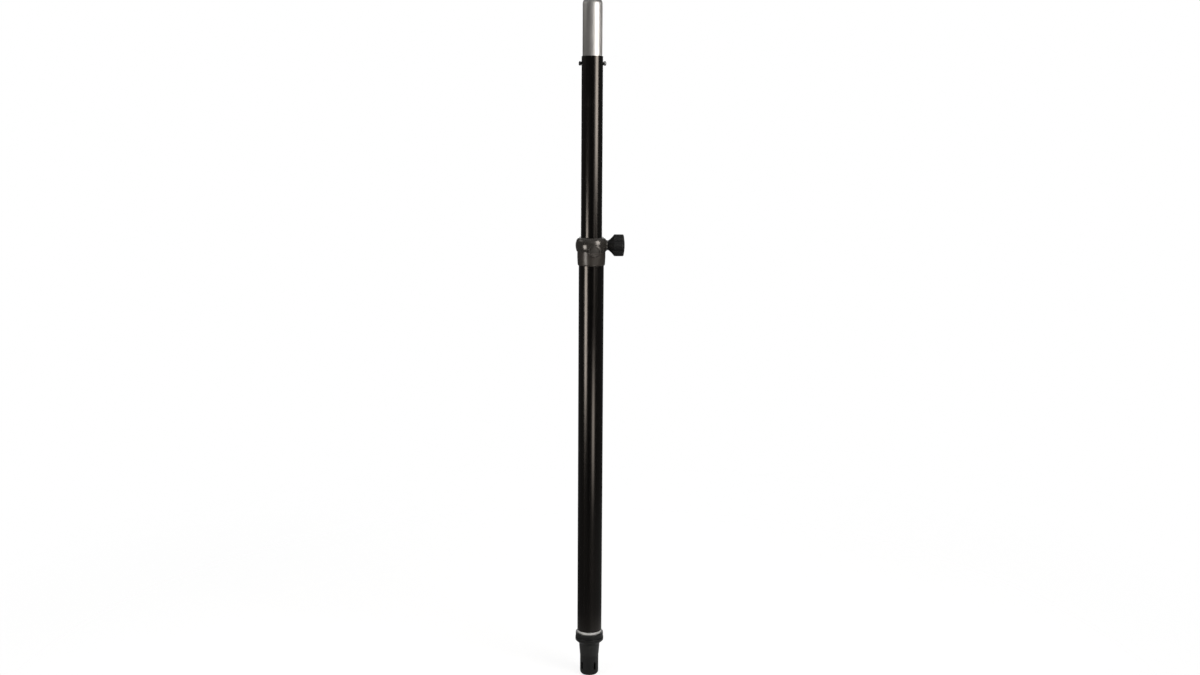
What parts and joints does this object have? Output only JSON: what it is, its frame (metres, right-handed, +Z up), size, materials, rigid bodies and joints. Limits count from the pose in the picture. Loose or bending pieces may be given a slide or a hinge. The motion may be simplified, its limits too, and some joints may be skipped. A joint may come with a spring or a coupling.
{
  "type": "speaker pole",
  "caption": "Telescoping loudspeaker pole: black tubes, clamping collar with palm knob, bright top spigot and slotted base plug for a subwoofer socket.",
  "frame": {"origin": "centre of the base plug's end face", "axes": "+Z up along the pole towards the top spigot, +X towards the clamp knob, -Y is the front that the picture shows"},
  "size_m": [0.0876, 0.0582, 1.2315],
  "materials": {
    "black_tube": "black anodised aluminium, satin gloss",
    "bare_metal": "bright drawn aluminium",
    "ring_metal": "bright satin aluminium",
    "collar_moulding": "glossy black moulded nylon",
    "base_moulding": "satin black moulded nylon",
    "knob_moulding": "matt black moulded grip",
    "nylon": "natural nylon",
    "brass": "turned brass",
    "zinc_steel": "zinc-plated steel",
    "black_screws": "black-oxide steel"
  },
  "bodies": {
    "outer_mast": {"base_plug": "base_moulding", "base_screw_1": "black_screws", "base_screw_2": "black_screws", "trim_ring": "ring_metal", "outer_tube": "black_tube", "collar_body": "collar_moulding", "collar_disc": "collar_moulding", "collar_screw_1": "black_screws", "collar_screw_2": "black_screws", "lower_guide_bush": "nylon", "wiper_ring": "nylon", "threaded_insert": "brass"},
    "clamp_pad": {"pressure_pad": "nylon"},
    "clamp_knob": {"knob_stud": "zinc_steel", "knob_body": "knob_moulding", "knob_cap": "knob_moulding"},
    "glide": {"guide_ring": "nylon"},
    "inner_mast": {"inner_tube": "black_tube", "tube_end_plug": "base_moulding", "plug_pin": "zinc_steel", "spigot_tube": "bare_metal", "spigot_cap": "base_moulding", "cross_bolt": "black_screws", "bolt_spacer_left": "black_screws", "bolt_spacer_right": "black_screws", "cross_bolt_nut": "zinc_steel"}
  },
  "joints": [
    {"name": "height_slide", "type": "slide", "parent": "outer_mast", "child": "glide", "axis": [0, 0, 1], "range_m": [-0.298, 0.28]},
    {"name": "mast_swivel", "type": "hinge", "parent": "glide", "child": "inner_mast", "pos_m": [0, 0, 0.4796], "axis": [0, 0, 1], "continuous": true},
    {"name": "pad_travel", "type": "slide", "parent": "outer_mast", "child": "clamp_pad", "axis": [1, 0, 0], "range_m": [0, 0.0025]},
    {"name": "knob_turn", "type": "hinge", "parent": "clamp_pad", "child": "clamp_knob", "pos_m": [0.04, 0, 0.8063], "axis": [1, 0, 0], "range_deg": [0, 720]}
  ],
  "couplings": [
    {"joint": "pad_travel", "follows": "knob_turn", "m_per_rad": 0.00019894}
  ]
}
